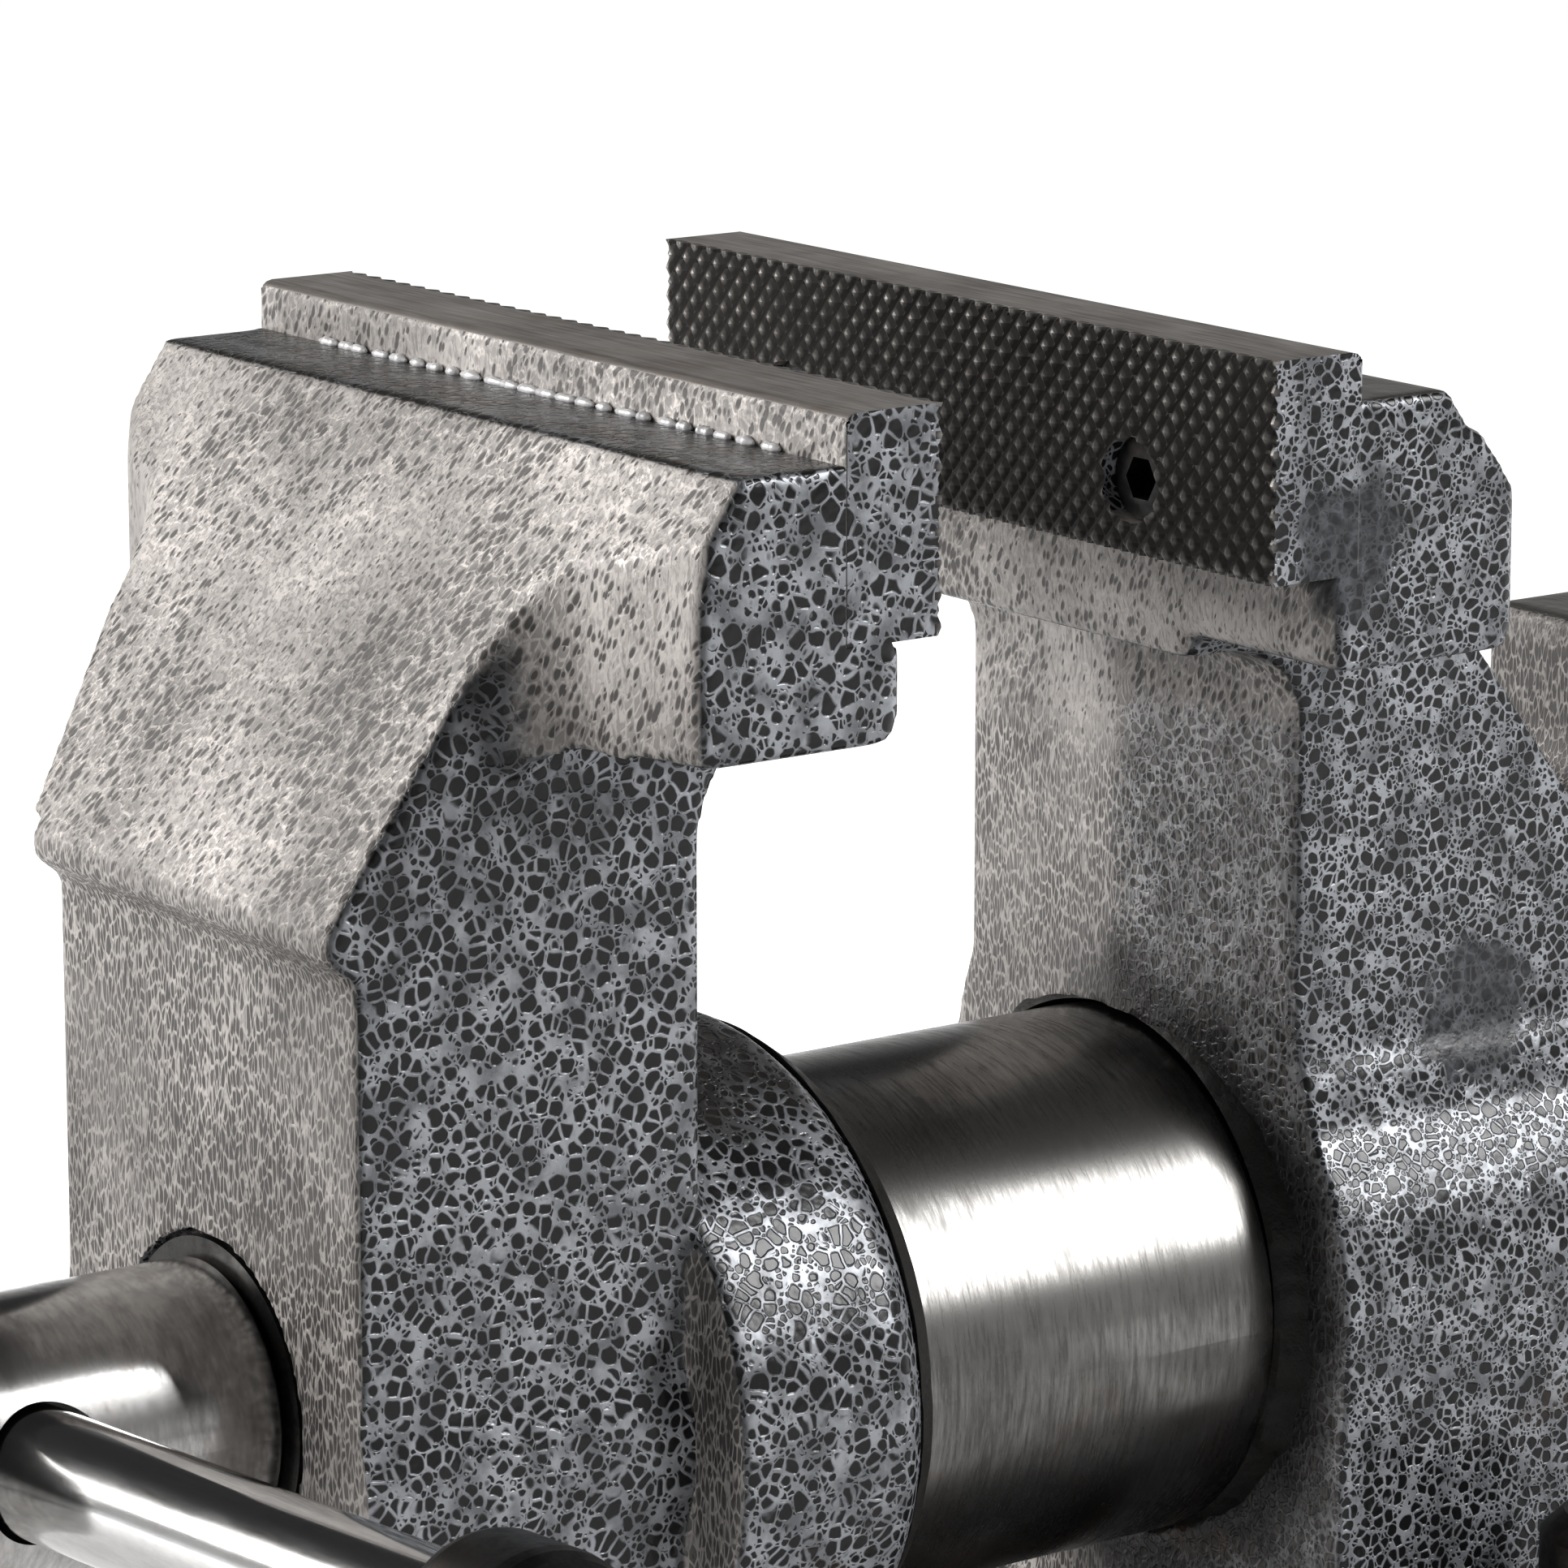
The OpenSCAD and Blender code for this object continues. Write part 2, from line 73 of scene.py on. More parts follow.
class Tree:
    """Builds a material's node tree with short calls."""

    def __init__(self, name):
        self.material = bpy.data.materials.new(name)
        self.material.use_nodes = True
        self.tree = self.material.node_tree
        self.shader = self.tree.nodes["Principled BSDF"]

    def node(self, kind, **settings):
        n = self.tree.nodes.new(kind)
        for key, value in settings.items():
            setattr(n, key, value)
        return n

    def feed(self, socket, value):
        if isinstance(value, bpy.types.NodeSocket):
            self.tree.links.new(value, socket)
        else:
            socket.default_value = value

    def set(self, **values):
        for key, value in values.items():
            self.feed(self.shader.inputs[key.replace("_", " ")], value)

    def place(self, stretch=(1, 1, 1), lean=0.0):
        """Object coordinates, with the pattern drawn out along the axes and then
        leant by that angle from Z towards +X."""
        coords = self.node("ShaderNodeTexCoord")
        mapping = self.node("ShaderNodeMapping", vector_type="TEXTURE")
        self.feed(mapping.inputs["Vector"], coords.outputs["Object"])
        mapping.inputs["Scale"].default_value = stretch
        mapping.inputs["Rotation"].default_value = (0, lean, 0)
        return mapping.outputs[0]

    def axis(self, vector, name):
        split = self.node("ShaderNodeSeparateXYZ")
        self.feed(split.inputs[0], vector)
        return split.outputs[name]

    def normal(self, name):
        coords = self.node("ShaderNodeTexCoord")
        return self.axis(coords.outputs["Normal"], name)

    def noise(self, vector, scale, detail=4.0, rough=0.55, distortion=0.0):
        n = self.node("ShaderNodeTexNoise")
        self.feed(n.inputs["Vector"], vector)
        n.inputs["Scale"].default_value = scale
        n.inputs["Detail"].default_value = detail
        n.inputs["Roughness"].default_value = rough
        n.inputs["Distortion"].default_value = distortion
        return n.outputs[0]

    def warp(self, vector, scale, amount):
        """vector pushed about by a noise of that scale."""
        n = self.node("ShaderNodeTexNoise")
        self.feed(n.inputs["Vector"], vector)
        n.inputs["Scale"].default_value = scale
        n.inputs["Detail"].default_value = 2.0
        off = self.node("ShaderNodeVectorMath", operation="SUBTRACT")
        self.feed(off.inputs[0], n.outputs["Color"])
        off.inputs[1].default_value = (0.5, 0.5, 0.5)
        size = self.node("ShaderNodeVectorMath", operation="SCALE")
        self.feed(size.inputs[0], off.outputs[0])
        size.inputs["Scale"].default_value = amount
        add = self.node("ShaderNodeVectorMath", operation="ADD")
        self.feed(add.inputs[0], vector)
        self.feed(add.inputs[1], size.outputs[0])
        return add.outputs[0]

    def cells(self, vector, scale, feature="F1"):
        n = self.node("ShaderNodeTexVoronoi", feature=feature)
        self.feed(n.inputs["Vector"], vector)
        n.inputs["Scale"].default_value = scale
        return n.outputs

    def bubbles(self, vector, scale, small, large, wall):
        """1 inside round cells of varied size, 0 in the web between them. Also
        gives the distance outside the nearest cell."""
        near = self.cells(vector, scale)
        edge = self.cells(vector, scale, "DISTANCE_TO_EDGE")["Distance"]
        pick = self.axis(near["Color"], "X")
        radius = self.ramp(pick, 0.0, 1.0, small, large, smooth=False)
        outside = self.math("SUBTRACT", near["Distance"], radius)
        inside = self.ramp(outside, 0.03, -0.09)
        return self.times(inside, self.ramp(edge, wall * 0.3, wall)), outside

    def math(self, operation, a, b=0.0, c=0.0, clamp=False):
        n = self.node("ShaderNodeMath", operation=operation, use_clamp=clamp)
        self.feed(n.inputs[0], a)
        self.feed(n.inputs[1], b)
        self.feed(n.inputs[2], c)
        return n.outputs[0]

    def times(self, first, *others):
        for other in others:
            first = self.math("MULTIPLY", first, other)
        return first

    def without(self, mask):
        return self.math("SUBTRACT", 1.0, mask)

    def ramp(self, value, low, high, out_low=0.0, out_high=1.0, smooth=True):
        n = self.node("ShaderNodeMapRange")
        n.interpolation_type = "SMOOTHSTEP" if smooth else "LINEAR"
        n.clamp = True
        self.feed(n.inputs["Value"], value)
        limits = {"From Min": low, "From Max": high, "To Min": out_low, "To Max": out_high}
        for key, limit in limits.items():
            self.feed(n.inputs[key], limit)
        return n.outputs[0]

    def mix(self, factor, a, b):
        n = self.node("ShaderNodeMix", data_type="RGBA")
        self.feed(n.inputs["Factor"], factor)
        self.feed(n.inputs[6], a if isinstance(a, bpy.types.NodeSocket) else (*a, 1.0))
        self.feed(n.inputs[7], b if isinstance(b, bpy.types.NodeSocket) else (*b, 1.0))
        return n.outputs[2]

    def blend(self, factor, a, b):
        n = self.node("ShaderNodeMix", data_type="FLOAT")
        self.feed(n.inputs["Factor"], factor)
        self.feed(n.inputs[2], a)
        self.feed(n.inputs[3], b)
        return n.outputs[0]

    def bump(self, height, depth, strength=1.0, under=None):
        n = self.node("ShaderNodeBump")
        n.inputs["Strength"].default_value = strength
        n.inputs["Distance"].default_value = depth
        self.feed(n.inputs["Height"], height)
        if under is not None:
            self.feed(n.inputs["Normal"], under)
        return n.outputs[0]

    def smear(self, centre, reach):
        """1 inside a ragged smear, 0 outside it."""
        vector = self.warp(self.warp(self.place(), 55, reach * 1.1), 260, reach * 0.35)
        n = self.node("ShaderNodeVectorMath", operation="DISTANCE")
        self.feed(n.inputs[0], vector)
        n.inputs[1].default_value = centre
        holes = self.noise(self.place(), 210, 5)
        distance = self.math("ADD", n.outputs["Value"], self.times(holes, reach * 0.9))
        return self.ramp(distance, reach * 1.5, reach * 1.15)


# ------------------------------------------------------------------ materials

WEB = (0.42, 0.435, 0.465)
CELL = (0.009, 0.0092, 0.010)
# painted light: the pale ground of the lit copy, for faces towards the key light
LIT_FRONT_PALE = (0.60, 0.565, 0.54)
LIT_FRONT_DARK = (0.34, 0.32, 0.305)
# painted shade: the dark colour of the pits on the lit copy
PIT_SHADE = (0.040, 0.037, 0.036)
# painted shade and dirt on the faces that look up
UPWARD_SHADE_AND_DIRT = (0.030, 0.028, 0.026)
# grease and painted shade round the bar
OIL_AND_SHADE = (0.010, 0.009, 0.009)
BOSS_OIL = (0.012, 0.011, 0.011)
RUST = (0.16, 0.105, 0.065)
RUB_DARK = (0.016, 0.017, 0.019)
RUB_LIGHT = (0.085, 0.09, 0.10)
SCORED_DARK = (0.16, 0.145, 0.13)
SCORED_LIGHT = (0.42, 0.40, 0.37)
STEEL_RUST = (0.17, 0.095, 0.05)

# Where the paint changes, as a pair of places that it fades between
BROW_FOOT = (JAW_TOP - 54 * MM, JAW_TOP - 64 * MM)
COLUMN_TOP = (JAW_TOP - 50 * MM, JAW_TOP - 56 * MM)
TURNED_SIDE = (-1 * MM, 8 * MM)
# grease and painted shade round the bar, stronger towards +X
SHADED_OILY_SIDE = (-16 * MM, 6 * MM)
OIL_AND_SHADE_RING = (BAR_R + 21 * MM, BAR_R + 10 * MM)
BROWN_LOW = (JAW_TOP - 125 * MM, JAW_TOP - 165 * MM)


def shaded_side_paint(t, base, cell):
    """The shaded copy of the paint, which faces away from the key light take: round near-black
    cells of mixed sizes in a raised silver web. Gives its colour, its height and how silver it is."""
    loose = t.warp(base, 230, 0.0019)
    big, outside = t.bubbles(loose, 500 / cell, 0.36, 0.70, 0.15)
    small, _ = t.bubbles(t.warp(base, 400, 0.0012), 1000 / cell, 0.38, 0.68, 0.20)
    small = t.times(small, t.ramp(outside, 0.02, 0.08))
    web = t.without(t.math("MAXIMUM", big, small))
    silver = t.ramp(t.noise(base, 190, 4), 0.3, 0.72, 0.35, 1.15)
    tone = t.times(web, silver)
    return t.mix(tone, CELL, WEB), web, tone


def pitted(t, vector, scale, crowd, crowding, most):
    """1 in long pits; crowding fills the ground until only thin strands are left."""
    near = t.cells(vector, scale)
    edge = t.cells(vector, scale, "DISTANCE_TO_EDGE")["Distance"]
    mixed = t.ramp(t.axis(near["Color"], "X"), 0.1, 0.8, 0.45, 1.2)
    size = t.times(t.ramp(crowd, 0.3, 0.68, 0.26, most), mixed)
    pits = t.ramp(near["Distance"], size, t.times(size, 0.5))
    strands = t.times(t.ramp(edge, 0.04, 0.17), crowding)
    return t.math("MAXIMUM", pits, strands)


def lit_front_paint(t, base, height_z):
    """The lit copy of the paint (painted light) for faces towards the key light: a pale ground, long pits
    painted dark, sparse and leaning on the sloped brow, crowded and upright on the column below it."""
    crowd = t.noise(base, 30, 5)
    lean = t.warp(t.place((1.0, 1.6, 2.3), math.radians(24)), 330, 0.0013)
    upright = t.warp(t.place((1.0, 1.0, 3.0)), 330, 0.0013)
    brow = pitted(t, lean, 1150, crowd, t.ramp(crowd, 0.44, 0.66, 0.05, 0.7), 0.66)
    column = pitted(t, upright, 1350, crowd, t.ramp(crowd, 0.32, 0.58, 0.7, 1.0), 0.68)
    pits = t.blend(t.ramp(height_z, *BROW_FOOT), brow, column)
    speck = t.ramp(t.noise(upright, 1900, 3), 0.46, 0.64, 0.0, 0.45)
    pits = t.math("MAXIMUM", pits, speck)
    ground = t.mix(t.ramp(t.noise(base, 26, 4), 0.35, 0.65), LIT_FRONT_PALE, LIT_FRONT_DARK)
    # painted shade: the pits are painted dark on the lit ground
    return t.mix(t.times(pits, 0.92), ground, PIT_SHADE), t.without(pits)


def hammered_paint(name, cell=1.0, patches=(), machined_z=None, grease_and_shade=False, dark_end_y=None):
    """Silver hammered paint with painted light: faces that look forward, towards the key light, take a
    lit copy, the rest a shaded copy. Patches are rubbed smears, as (centre, reach). The face at machined_z
    is bare metal. The grease flag paints the casting dark round the bar, most on +X, as grease and painted
    shade, and paints shade on the +X half of its column's front below the head. From dark_end_y on it is
    oily."""
    t = Tree(name)
    base = t.place()
    height_z = t.axis(base, "Z")
    shaded_side_colour, side_height, web = shaded_side_paint(t, base, cell)
    lit_front_colour, front_height = lit_front_paint(t, base, height_z)
    # painted light: faces that look forward, towards the key light, take the lit copy, the rest the shaded
    # copy
    front = t.ramp(t.normal("Y"), -0.42, -0.72)
    if grease_and_shade:
        across = t.node("ShaderNodeCombineXYZ")
        t.feed(across.inputs[0], t.axis(base, "X"))
        t.feed(across.inputs[1], t.math("SUBTRACT", height_z, BAR_Z))
        away = t.node("ShaderNodeVectorMath", operation="LENGTH")
        t.feed(away.inputs[0], across.outputs[0])
        far = t.math("ADD", away.outputs["Value"], t.times(t.noise(base, 110, 4), 14 * MM))
        side_x = t.axis(base, "X")
        shaded_oily_side = t.ramp(side_x, *SHADED_OILY_SIDE, 0.25, 1.0)
        grease_and_shade_mask = t.times(t.ramp(far, *OIL_AND_SHADE_RING), front, shaded_oily_side)
        # painted shade under the head on the +X half of the column's front, where the lit copy gives way to
        # the shaded copy
        shaded = t.times(t.ramp(side_x, *TURNED_SIDE), t.ramp(height_z, *COLUMN_TOP), 0.62)
        front = t.times(front, t.without(shaded))
    colour = t.mix(front, shaded_side_colour, lit_front_colour)
    # painted shade: a dark line on the rounding where a side turns into a front
    turn = t.normal("Y")
    rim = t.times(t.ramp(turn, -0.10, -0.30), t.ramp(turn, -0.66, -0.46))
    colour = t.mix(t.times(rim, 0.6), colour, CELL)
    height = t.blend(front, side_height, t.times(front_height, 0.6))

    # painted shade and dirt: faces that look up are darker, with the pits filled with dirt
    top = t.ramp(t.normal("Z"), 0.72, 0.9)
    dirt = t.ramp(t.noise(t.place((2.8, 1, 1)), 200, 5), 0.34, 0.6, 0.35, 0.95)
    colour = t.mix(t.times(top, dirt), colour, UPWARD_SHADE_AND_DIRT)
    # grease and painted shade: dark round the bar, most on its +X side
    if grease_and_shade:
        colour = t.mix(t.times(grease_and_shade_mask, 0.88), colour, OIL_AND_SHADE)
    if dark_end_y is not None:
        ragged = t.times(t.noise(base, 240, 5), 5 * MM)
        near_end = t.math("ADD", t.axis(base, "Y"), ragged)
        end_mask = t.ramp(near_end, dark_end_y - 2.6 * MM, dark_end_y - 0.4 * MM, 0.0, 0.9)
        colour = t.mix(end_mask, colour, BOSS_OIL)
    # a brown tint low on the body
    stained = t.ramp(t.noise(base, 60, 4), 0.52, 0.74)
    rust = t.times(stained, t.ramp(height_z, *BROWN_LOW, 0.0, 0.45))
    colour = t.mix(rust, colour, RUST)
    rough = t.blend(front, t.ramp(web, 0.0, 1.0, 0.22, 0.34), 0.46)
    metallic = t.times(web, 0.35)
    for centre, reach in patches:
        worn = t.smear(centre, reach)
        strokes = t.noise(t.place((1, 1.5, 6), math.radians(40)), 900, 5)
        rubbed = t.mix(t.ramp(strokes, 0.42, 0.72), RUB_DARK, RUB_LIGHT)
        colour = t.mix(t.times(worn, 0.86), colour, rubbed)
        height = t.blend(worn, height, t.times(strokes, 0.5))
        metallic = t.times(metallic, t.without(worn))
    if machined_z is not None:
        high = t.ramp(height_z, machined_z - 0.9 * MM, machined_z - 0.4 * MM)
        flat = t.times(high, t.ramp(t.normal("Z"), 0.8, 0.95))
        scored = t.noise(t.place((16, 1, 1)), 1500, 3)
        colour = t.mix(flat, colour, t.mix(scored, SCORED_DARK, SCORED_LIGHT))
        rough = t.blend(flat, rough, 0.33)
        metallic = t.blend(flat, metallic, 0.85)
        height = t.blend(flat, height, t.times(scored, 0.3))
    t.set(Base_Color=colour, Roughness=rough, Metallic=metallic)
    t.shader.inputs["Specular IOR Level"].default_value = 0.36
    soft = t.bump(t.noise(base, 180, 3), 0.35 * MM, 0.6)
    t.set(Normal=t.bump(height, 0.13 * MM, 1.0, soft))
    return t.material


def steel(name, dark, light, stretch=(1, 1, 1), fine=900, rough=(0.22, 0.4), depth=0.02,
          rust=0.0, rust_z=None, metallic=1.0):
    """Worked steel: fine marks stretched along the tool's path, stains and a little
    rust. depth is the marks' depth in mm; rust_z are the heights that rust fades between."""
    t = Tree(name)
    base = t.place()
    marks = t.noise(t.place(stretch), fine, 5, 0.7)
    stains = t.noise(base, 45, 5, 0.6)
    tone = t.math("ADD", t.times(marks, 0.6), t.times(stains, 0.4))
    colour = t.mix(t.ramp(tone, 0.3, 0.7), dark, light)
    if rust:
        spots = t.ramp(t.noise(base, 75, 6, 0.7), 0.50, 0.72)
        if rust_z is not None:
            spots = t.times(spots, t.ramp(t.axis(base, "Z"), *rust_z))
        colour = t.mix(t.times(spots, rust), colour, STEEL_RUST)
    t.set(Base_Color=colour, Roughness=t.ramp(tone, 0.25, 0.75, rough[1], rough[0]))
    t.shader.inputs["Metallic"].default_value = metallic
    t.set(Normal=t.bump(marks, depth * MM, 0.6))
    return t.material


def serrated(name):
    """Dark, oily serrated face, its tooth edges bright: partly wear, partly painted highlight."""
    t = Tree(name)
    base = t.place()
    edge = t.node("ShaderNodeNewGeometry").outputs["Pointiness"]
    # painted highlight and wear: the tooth edges are painted bright where they catch the light
    worn = t.times(t.ramp(edge, 0.52, 0.60), t.ramp(t.noise(base, 130, 4), 0.3, 0.65, 0.1, 0.8))
    dirt = t.mix(t.noise(base, 300, 5), (0.006, 0.0055, 0.005), (0.036, 0.032, 0.029))
    colour = t.mix(worn, dirt, (0.42, 0.40, 0.38))
    t.set(Base_Color=colour, Roughness=t.blend(worn, 0.42, 0.28), Metallic=t.blend(worn, 0.5, 0.9))
    t.set(Normal=t.bump(t.noise(base, 900, 4), 0.05 * MM, 0.7))
    return t.material


def grease(name):
    t = Tree(name)
    base = t.place()
    lumps = t.noise(base, 330, 6, 0.7)
    t.set(Base_Color=t.mix(lumps, (0.003, 0.003, 0.003), (0.022, 0.020, 0.018)))
    t.set(Roughness=t.ramp(lumps, 0.3, 0.7, 0.38, 0.7))
    t.shader.inputs["Specular IOR Level"].default_value = 0.3
    t.set(Normal=t.bump(lumps, 0.6 * MM, 1.0))
    return t.material


HEAD_END = (PLATE_HIGH.x, FACE_Y + 12 * MM, JAW_TOP - 22 * MM)
BODY_RUB = (36 * MM, FACE_Y + 58 * MM, JAW_TOP - 94 * MM)
PAINT_FIXED = hammered_paint("hammered_paint_body", 0.85, [(HEAD_END, 10 * MM), (BODY_RUB, 11 * MM)],
                             ANVIL_Z, True)
PAINT_MOVING = hammered_paint("hammered_paint_jaw", 1.08, dark_end_y=BOSS_END)
PAINT_BASE = hammered_paint("hammered_paint_base", 1.0)
GROUND = steel("ground_plate_top", (0.12, 0.108, 0.098), (0.36, 0.335, 0.31), (25, 1, 1), 1600,
               (0.30, 0.48), 0.03, 0.30, metallic=0.30)
SERRATED = serrated("serrated_face")
BAR_STEEL = steel("turned_bar", (0.10, 0.097, 0.092), (0.33, 0.322, 0.31), (9, 1, 9), 1500,
                  (0.17, 0.33), 0.008, 0.5, (BAR_Z + 5 * MM, BAR_Z - 28 * MM))
HEAD_STEEL = steel("polished_head", (0.30, 0.295, 0.29), (0.62, 0.61, 0.60), (3, 1, 3), 700,
                   (0.13, 0.27), 0.006, 0.2)
CHROME = steel("chromed_handle", (0.55, 0.55, 0.55), (0.78, 0.78, 0.77), (7, 1, 1), 500,
               (0.07, 0.16), 0.004, 0.12)
BLACK = steel("blackened_steel", (0.018, 0.018, 0.019), (0.075, 0.074, 0.072), (1, 1, 1), 400,
              (0.3, 0.5), 0.02, 0.15)
ZINC = steel("zinc_plate", (0.34, 0.34, 0.35), (0.60, 0.60, 0.62), (1, 1, 1), 500,
             (0.25, 0.42), 0.015, 0.1)
IRON = steel("machined_iron", (0.07, 0.068, 0.065), (0.20, 0.19, 0.18), (1, 1, 1), 350,
             (0.4, 0.6), 0.03, 0.3)
GREASE = grease("black_grease")
# painted highlight: the bead's near-white colour stands in for the glints along the moving plate's joint
GLINT_BEAD = steel("glinting_bead", (0.62, 0.62, 0.63), (0.95, 0.95, 0.96), (1, 1, 1), 800,
               (0.15, 0.3), 0.03, metallic=0.1)

# ------------------------------------------------------------------ mesh tools

VOXEL = 0.9 * MM
STEPS = 20
SHARP = math.radians(52)            # edges above this angle are drawn sharp
SEAT_LOW = JAW_TOP - 28.5 * MM      # span of the plates' seats on the castings
SEAT_HIGH = JAW_TOP - 4 * MM
HOLD = 0.8 * MM                     # distance from a seat or the bore that stays put
LOOSE = 2.2 * MM                    # and that from which a vertex moves freely
BORE_GAP = 0.25 * MM
BORE_REACH = 1.5 * MM
LIP = 6.5 * MM                      # depth of the lip under a plate that is squared


def add_piece(name, mesh, body, material, slot, *nodes):
    piece = bpy.data.objects.new(name, mesh)
    bpy.context.scene.collection.objects.link(piece)
    if material is not None:
        mesh.materials.clear()
        mesh.materials.append(material)
    mesh.polygons.foreach_set("use_smooth", [True] * len(mesh.polygons))
    mesh.set_sharp_from_angle(angle=SHARP)
    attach(piece, body)
    if nodes:
        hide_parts(*nodes)
    return piece


def remeshed(node, voxel):
    """A CAD node's mesh as an even grid of quads of about that size."""
    src = NODES[node].data.copy()
    bm = bmesh.new()
    bm.from_mesh(src)
    bmesh.ops.remove_doubles(bm, verts=bm.verts, dist=0.002 * MM)
    bm.to_mesh(src)
    bm.free()
    holder = bpy.data.objects.new("holder", src)
    bpy.context.scene.collection.objects.link(holder)
    mod = holder.modifiers.new("grid", "REMESH")
    mod.mode = "VOXEL"
    mod.voxel_size = voxel
    mod.adaptivity = 0.0
    mesh = bpy.data.meshes.new_from_object(holder.evaluated_get(bpy.context.evaluated_depsgraph_get()))
    bpy.data.objects.remove(holder)
    return mesh


def vertex_normals(co, corners):
    a, b, c, d = (co[corners[:, i]] for i in range(4))
    face = np.cross(c - a, d - b)
    out = np.zeros_like(co)
    for i in range(4):
        np.add.at(out, corners[:, i], face)
    return out / np.maximum(np.linalg.norm(out, axis=1, keepdims=True), 1e-12)


def soften(mesh, steps, hold, convex=0.25):
    """Rounds a casting: inner corners fill into fillets, outer edges round less.
    hold(co) gives 0 where a vertex stays put and 1 where it may move."""
    n = len(mesh.vertices)
    co = np.empty(n * 3)
    mesh.vertices.foreach_get("co", co)
    co = co.reshape(-1, 3)
    edges = np.empty(len(mesh.edges) * 2, dtype=np.int64)
    mesh.edges.foreach_get("vertices", edges)
    edges = edges.reshape(-1, 2)
    loops = (list(p.vertices) for p in mesh.polygons)
    corners = np.array([(loop + loop[2:3])[:4] for loop in loops])
    count = np.bincount(edges.ravel(), minlength=n)[:, None]
    free = hold(co)[:, None]
    for _ in range(steps):
        total = np.zeros_like(co)
        for k in range(3):
            total[:, k] = np.bincount(edges[:, 0], co[edges[:, 1], k], n)
            total[:, k] += np.bincount(edges[:, 1], co[edges[:, 0], k], n)
        pull = total / np.maximum(count, 1) - co
        out = (pull * vertex_normals(co, corners)).sum(axis=1, keepdims=True)
        co = co + 0.5 * pull * free * np.where(out > 0, 1.0, convex)
    mesh.vertices.foreach_set("co", co.ravel())
    mesh.update()
    return co


def step(x, low, high):
    """0 below low, 1 above high."""
    return np.clip((x - low) / (high - low), 0.0, 1.0)


def hold_common(co, plate_y):
    """Keeps the bar's bore, the plate's seat and the rim round it sharp."""
    r = np.hypot(co[:, 0], co[:, 2] - BAR_Z)
    free = step(r, BAR_R + HOLD, BAR_R + LOOSE)
    seat = np.abs(co[:, 1] - plate_y)
    on_seat = (co[:, 2] > SEAT_LOW) & (co[:, 2] < SEAT_HIGH)
    return np.where(on_seat, np.minimum(free, step(seat, HOLD, LOOSE)), free)


def close_seams(mesh, seat_y, back):
    """Opens the bore out to the bar so that neither cuts the other, and squares the
    rim round the plate's seat, so that the plate's ends meet the casting. back is the
    direction along Y from the seat into the casting."""
    co = np.empty(len(mesh.vertices) * 3)
    mesh.vertices.foreach_get("co", co)
    co = co.reshape(-1, 3)
    off = co[:, [0, 2]] - np.array([0, BAR_Z])
    r = np.linalg.norm(off, axis=1)
    near = (r < BAR_R + BORE_GAP) & (r > BAR_R - BORE_REACH)
    off[near] *= ((BAR_R + BORE_GAP) / r[near])[:, None]
    co[:, [0, 2]] = off + np.array([0, BAR_Z])
    reach = 1.35 * VOXEL
    at_end = np.abs(co[:, 0]) > PLATE_HIGH.x - reach
    behind = np.abs(co[:, 1] - seat_y) < reach
    beside = (co[:, 2] > PLATE_LOW.z - reach) & (co[:, 2] < SHELF_Z - 0.5 * MM)
    corner = at_end & behind & beside
    co[corner, 0] = np.sign(co[corner, 0]) * PLATE_HIGH.x
    co[corner, 1] = seat_y
    depth = (co[:, 1] - seat_y) * back
    under = at_end & (np.abs(co[:, 2] - PLATE_LOW.z) < reach) & (depth < reach) & (depth > -LIP)
    co[under, 0] = np.sign(co[under, 0]) * PLATE_HIGH.x
    co[under, 2] = PLATE_LOW.z
    mesh.vertices.foreach_set("co", co.ravel())
    mesh.update()


def fixed_casting():
    mesh = remeshed("fixed_body", VOXEL)
    soften(mesh, STEPS, lambda co: hold_common(co, PLATE_HIGH.y))
    close_seams(mesh, PLATE_HIGH.y, 1)
    return add_piece("fixed_casting", mesh, "vise_body", PAINT_FIXED, "hammered_paint", "fixed_body")


def moving_casting():
    mesh = remeshed("moving_jaw", VOXEL)
    soften(mesh, STEPS, lambda co: hold_common(co, MOVING_LOW.y))
    close_seams(mesh, MOVING_LOW.y, -1)
    return add_piece("moving_casting", mesh, "front_jaw", PAINT_MOVING, "hammered_paint", "moving_jaw")


def base_casting():
    mesh = remeshed("swivel_base", VOXEL)
    soften(mesh, STEPS // 2, lambda co: step(np.hypot(co[:, 0], co[:, 1]), 12 * MM, 14 * MM))
    return add_piece("base_casting", mesh, "base", PAINT_BASE, "hammered_paint", "swivel_base")


# ------------------------------------------------------------------ jaw plates

TOOTH_W = 3.4 * MM
TOOTH_H = 3.7 * MM
TOOTH_DEPTH = 0.85 * MM
TOOTH_TIP = 0.12                # part of a tooth's half width that its flat tip takes
PER_TOOTH = 8                   # mesh steps across a tooth
FACE_RIM = 0.25 * MM            # how far the serrated face's rim lies back
PLATE_MM = 14.0
# Rings behind the serrated face: depth, and how far the top edge is rounded in, in mm
PLATE_RINGS = ((1.4, 0), (12.4, 0), (13.2, 0.2), (13.75, 0.65), (14.0, 1.3))
SCREW_HEAD_R = 5 * MM
# Radius, start and end of the two steps of a screw's hole, from the plate's face
DRILLS = ((5.3 * MM, -3 * MM, 8.2 * MM), (3.3 * MM, -3 * MM, 20 * MM))


def tooth_depth(x, z):
    """How far below the teeth's tips the serrated face lies, 0 to TOOTH_DEPTH."""
    u = x / TOOTH_W + z / TOOTH_H
    v = x / TOOTH_W - z / TOOTH_H
    groove = max(abs(u - math.floor(u) - 0.5), abs(v - math.floor(v) - 0.5)) * 2
    return TOOTH_DEPTH * max(0.0, groove - TOOTH_TIP) / (1 - TOOTH_TIP)


